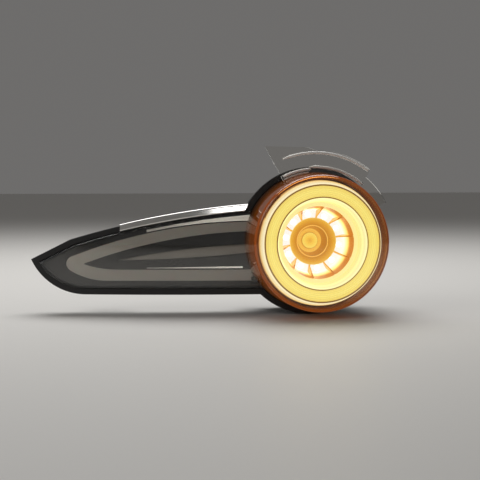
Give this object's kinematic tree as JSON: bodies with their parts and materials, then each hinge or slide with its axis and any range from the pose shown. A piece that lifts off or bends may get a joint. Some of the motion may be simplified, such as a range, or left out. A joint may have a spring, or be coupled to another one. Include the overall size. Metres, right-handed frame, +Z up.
{
  "type": "car lamp",
  "caption": "Clear-lens car lamp: a round amber unit with a ring and lit cells, and a tapered black wing with a milky U light guide.",
  "frame": {"origin": "centre of the three rear studs, in the plane of the rear mounting faces, on the axis of the round unit", "axes": "+X to the right seen from the front, away from the wing; +Y out of the back, along the studs; +Z up"},
  "size_m": [0.29, 0.121, 0.1386],
  "materials": {
    "housing_black": "fine grained black moulding",
    "lens_clear": "polished clear polycarbonate",
    "sealant_black": "matt sealant",
    "bright_trim": "metallised moulding",
    "bezel_black": "gloss black moulding",
    "guide_milky": "milky acrylic",
    "guide_smoke": "smoked acrylic",
    "ring_amber": "textured amber polycarbonate",
    "cell_bright": "metallised moulding in amber light",
    "cone_amber": "satin amber moulding",
    "led_lit": "lit light source",
    "reflector_white": "white moulding",
    "carrier_dark": "dark moulding",
    "board_green": "solder mask",
    "sink_aluminium": "cast, as made",
    "steel_plated": "zinc plated",
    "pin_plated": "tin plated",
    "part_black": "moulded component",
    "foam_black": "closed-cell foam"
  },
  "bodies": {
    "root": {"rear_housing": "housing_black", "outer_lens": "lens_clear", "lens_seal": "sealant_black", "top_garnish": "bright_trim", "bezel_frame": "bezel_black", "bezel_insert": "bezel_black", "frame_accent": "bright_trim", "insert_accent": "bright_trim", "light_guide": "guide_milky", "blade_guide": "guide_smoke", "guide_carrier": "reflector_white", "guide_board": "board_green", "guide_leds": "led_lit", "ring_lens": "ring_amber", "ring_light_guide": "guide_milky", "ring_reflector": "reflector_white", "cell_reflector": "cell_bright", "centre_cone": "cone_amber", "optic_carrier": "carrier_dark", "turn_board": "board_green", "turn_leds": "led_lit", "heat_sink": "sink_aluminium", "optic_screws": "steel_plated", "driver_board": "board_green", "driver_parts": "part_black", "connector_socket": "housing_black", "connector_pins": "pin_plated", "mounting_studs": "steel_plated", "vent_cap": "part_black", "body_gasket": "foam_black"}
  },
  "joints": []
}
